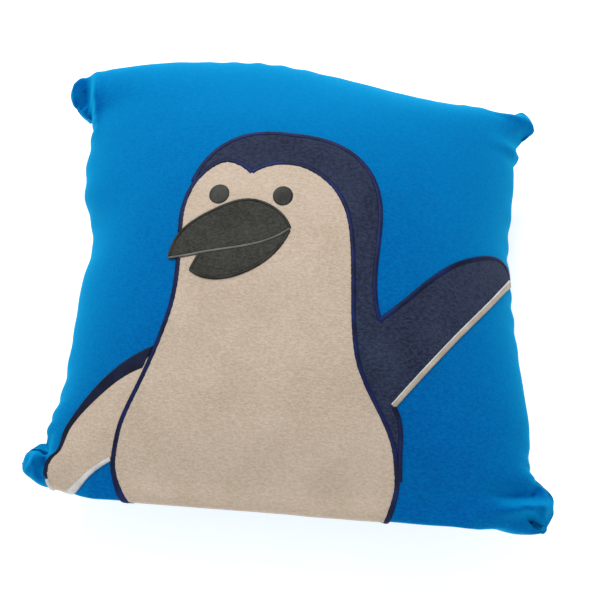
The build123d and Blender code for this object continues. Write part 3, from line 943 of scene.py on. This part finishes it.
def tube(middle, radius, closed):
    """A round cord along a line: points and faces."""
    count, corners = len(middle), 6
    if closed:
        heading = np.roll(middle, -1, axis=0) - np.roll(middle, 1, axis=0)
    else:
        heading = np.gradient(middle, axis=0)
    side = np.cross(heading, [0, 0, 1])
    side /= np.linalg.norm(side, axis=1, keepdims=True)
    up = np.array([0, 0, 1])
    points = [middle + radius * (math.cos(a) * side + math.sin(a) * up) for a in turns(corners)]
    rings = [np.arange(count) + k * count for k in range(corners)]
    faces = []
    for k in range(corners):
        quads = ring_faces(rings[k], rings[(k + 1) % corners])
        faces += (quads if closed else quads[:-1]).tolist()
    if not closed:
        faces.append([int(ring[0]) for ring in rings])
        faces.append([int(ring[-1]) for ring in rings[::-1]])
    return np.concatenate(points), faces


def build_seam_thread():
    """Needle thread and bobbin thread beside the seam, short of the ears and of the zip."""
    run = np.linspace(-0.78, 0.78, 141)
    edge = run * 0 + 1 - 3.5 * MM / CUT_HALF
    points, faces, count = [], [], 0
    for cu, cv in ((run, edge), (-edge, run), (edge, run)):
        front, back = (sample(panels[facing], cu, cv) for facing in (FRONT, BACK))
        middle = (front + back) / 2
        stitch = 0.15 * MM * np.sin(np.arange(len(run)) * 2.1)[:, None] * np.array([0, 0, 1])
        for height in (0.45, -0.45):
            p, f = tube(middle + [0, 0, height * MM] + stitch, 0.2 * MM, False)
            points.append(p)
            faces += [[n + count for n in face] for face in f]
            count += len(p)
    add_piece("seam_thread_run", "seam_thread", np.concatenate(points), faces, THREAD_BLUE)


def build_pad_seam():
    """A cord round the pad's case, midway between the panels."""
    cu, cv = pad_places(24 * MM)
    rim = rim_of(PAD_GRID, PAD_GRID)
    front, back = (sample(panels[facing], cu[rim], cv[rim]) for facing in (FRONT, BACK))
    points, faces = tube((front + back) / 2, 0.8 * MM, True)
    add_piece("insert_seam_run", "insert_seam", points, faces, PAD_CASE)


build_layer("embroidery_backing", [(FRONT, 0.1 * MM), (FRONT, 0.4 * MM)], 30 * MM, STABILISER)
build_seam_thread()
build_pad_seam()
for facing, name in ((FRONT, "insert_case_front"), (BACK, "insert_case_back")):
    sheets = [(facing, CASE_DEPTH), (facing, CASE_DEPTH + CASE)]
    build_layer(name, sheets, 26 * MM, PAD_CASE)
build_layer("fibre_filling", [(FRONT, FIBRE_DEPTH), (BACK, FIBRE_DEPTH)], 34 * MM, FIBRE)

# Care label: a blank ribbon out of the top seam, folded against the back panel

LABEL_LENGTH = 26 * MM


def build_label():
    low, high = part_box("care_label")
    columns, rows = 21, 15
    across = np.linspace(low[0], high[0], columns)
    down = np.linspace(0, 1, rows)
    gx, gd = [part.ravel() for part in np.meshgrid(across, down, indexing="ij")]
    cu = to_cloth(panel_coordinates(gx, gx * 0 + TOP_WAIST)[0])
    cv = 1 - gd * LABEL_LENGTH / CUT_HALF
    curl = 0.5 * MM + 1.2 * MM * gd**2 + 0.5 * MM * np.sin(gx / MM * 0.35) * gd
    normal = sample(panel_normals[BACK], cu, cv)
    near = sample(panels[BACK], cu, cv) + normal * curl[:, None]
    far = near + normal * 0.4 * MM
    count = len(gx)
    rim = rim_of(columns, rows)
    faces = np.concatenate([
        grid_faces(columns, rows, 0, -1),
        grid_faces(columns, rows, count, 1),
        ring_faces(rim, rim + count, -1),
    ])
    points = np.concatenate([near, far])
    add_piece("care_label_ribbon", "care_label", points, faces.tolist(), LABEL)


build_label()

# Zip: woven tapes behind the lips, with the CAD's coils, stops, slider and pull

TAPE_HALF = 168 * MM  # half of a tape's length
TAPE_GAP = 4.1 * MM  # from the seam's plane to a tape's edge beside the coils
TAPE = 0.8 * MM
TAPE_COURSE = [(0.0, 1.3), (4.0, 1.4), (9.0, 1.4), (14.0, 1.4)]  # from the seam and behind the panel, in mm
coil_low, coil_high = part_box("zip_coil_front")


def build_tape(name, facing):
    """A tape from the zip's coil up along the inside of the cover, drawn together past the stops."""
    run = np.linspace(-TAPE_HALF, TAPE_HALF, 169)
    parted = smooth((TAPE_HALF - np.abs(run)) / (8 * MM))
    cu = to_cloth(panel_coordinates(run, run * 0 - ZIP_EDGE)[0])
    columns = []
    for thick, set_back in ((0.0, 0.4 * MM), (TAPE, 1 * MM)):
        edge_y = (coil_low[1] + coil_high[1]) / 2 + set_back
        edge_z = SEAM + facing * (0.1 * MM + TAPE_GAP * parted + thick)
        strip = [np.stack([run, run * 0 + edge_y, edge_z], -1)]
        for along, depth in TAPE_COURSE:
            cv = run * 0 - 1 + along * MM / CUT_HALF
            place = sample(panels[facing], cu, cv)
            normal = sample(panel_normals[facing], cu, cv)
            strip.append(place - normal * (depth * MM + thick))
        columns.append(np.stack(strip, 1))
    rows, across = columns[0].shape[:2]
    points = np.concatenate([part.reshape(-1, 3) for part in columns])
    rim = rim_of(rows, across)
    count = rows * across
    faces = np.concatenate([
        grid_faces(rows, across, 0, facing),
        grid_faces(rows, across, count, -facing),
        ring_faces(rim, rim + count, facing),
    ])
    add_piece(name + "_woven", name, points, faces.tolist(), TAPE_BLUE)


build_tape("zip_tape_front", FRONT)
build_tape("zip_tape_back", BACK)


def paint(name, colour, rough, metal):
    """Painted or moulded surface with faint wear."""
    material, tree, shader = new_material(name)
    place = node(tree, "TexCoord").outputs["Object"]
    wear = node(tree, "TexNoise", {"Vector": place, "Scale": 700.0, "Detail": 5.0})
    light = tuple(min(255, c + 26) for c in colour)
    shade = mix(tree, ramp(tree, wear.outputs["Fac"], 0.35, 0.75), linear(colour), linear(light))
    tree.links.new(shade, shader.inputs["Base Color"])
    shine = {"Value": wear.outputs["Fac"], "To Min": rough - 0.08, "To Max": rough + 0.12}
    uneven = node(tree, "MapRange", shine)
    tree.links.new(uneven.outputs["Result"], shader.inputs["Roughness"])
    shader.inputs["Metallic"].default_value = metal
    relief = node(tree, "Bump", {"Strength": 0.15, "Distance": 0.0002, "Height": wear.outputs["Fac"]})
    tree.links.new(relief.outputs["Normal"], shader.inputs["Normal"])
    return material


COIL_NYLON = paint("coil_nylon", (0, 92, 160), 0.45, 0.0)
ZIP_METAL = paint("zip_metal", (0, 84, 150), 0.35, 0.3)
for name in ("zip_coil_front", "zip_coil_back", "zip_open_stop", "zip_closed_stop"):
    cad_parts[name].data.materials[0] = COIL_NYLON
for name in ("zip_slider_body", "zip_pull_tab"):
    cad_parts[name].data.materials[0] = ZIP_METAL

# Studio

scene = bpy.context.scene

floor_mesh = bpy.data.meshes.new("floor")
floor_mesh.from_pydata([(-4, -4, 0), (4, -4, 0), (4, 4, 0), (-4, 4, 0)], [], [(0, 1, 2, 3)])
floor = bpy.data.objects.new("floor", floor_mesh)
scene.collection.objects.link(floor)
floor_paint, tree, shader = new_material("floor_paint")
shader.inputs["Base Color"].default_value = linear((244, 244, 244))
shader.inputs["Roughness"].default_value = 0.8
shader.inputs["Emission Color"].default_value = (1, 1, 1, 1)
shader.inputs["Emission Strength"].default_value = 0.55
floor_mesh.materials.append(floor_paint)

world = bpy.data.worlds.new("studio")
scene.world = world
world.use_nodes = True
world.node_tree.nodes["Background"].inputs["Color"].default_value = (1, 1, 1, 1)
world.node_tree.nodes["Background"].inputs["Strength"].default_value = 0.45
scene.view_settings.view_transform = "Standard"


def add_light(name, place, aim, size, power):
    data = bpy.data.lights.new(name, "AREA")
    data.shape = "DISK"
    data.size = size
    data.energy = power
    lamp = bpy.data.objects.new(name, data)
    lamp.location = place
    lamp.rotation_euler = (Vector(aim) - Vector(place)).to_track_quat("-Z", "Y").to_euler()
    scene.collection.objects.link(lamp)


MIDDLE = Vector((0, 0, 0.08))
add_light("key", (-0.4, 1.35, 1.7), MIDDLE, 0.9, 28)
add_light("fill", (0.2, -1.7, 1.7), MIDDLE, 1.6, 12)

# Camera

AZIMUTH, ELEVATION, ROLL = math.radians(2.5), math.radians(68), math.radians(2.1)
DISTANCE = 1.1
SENSOR, LENS = 36, 72.7
SHIFT = (0.00233, -0.03167)

camera_data = bpy.data.cameras.new("camera")
camera = bpy.data.objects.new("camera", camera_data)
scene.collection.objects.link(camera)
scene.camera = camera
level = math.cos(ELEVATION)
back = Vector((math.sin(AZIMUTH) * level, -math.cos(AZIMUTH) * level, math.sin(ELEVATION)))
axes = back.to_track_quat("Z", "Y").to_matrix()
right, up = axes @ Vector((1, 0, 0)), axes @ Vector((0, 1, 0))
rolled_right = math.cos(ROLL) * right + math.sin(ROLL) * up
rolled_up = back.cross(rolled_right)
camera.location = MIDDLE + DISTANCE * back
camera.rotation_mode = "QUATERNION"
camera.rotation_quaternion = Matrix((rolled_right, rolled_up, back)).transposed().to_quaternion()
camera_data.sensor_width = SENSOR
camera_data.lens = LENS
camera_data.shift_x, camera_data.shift_y = SHIFT
camera_data.clip_start = 0.01
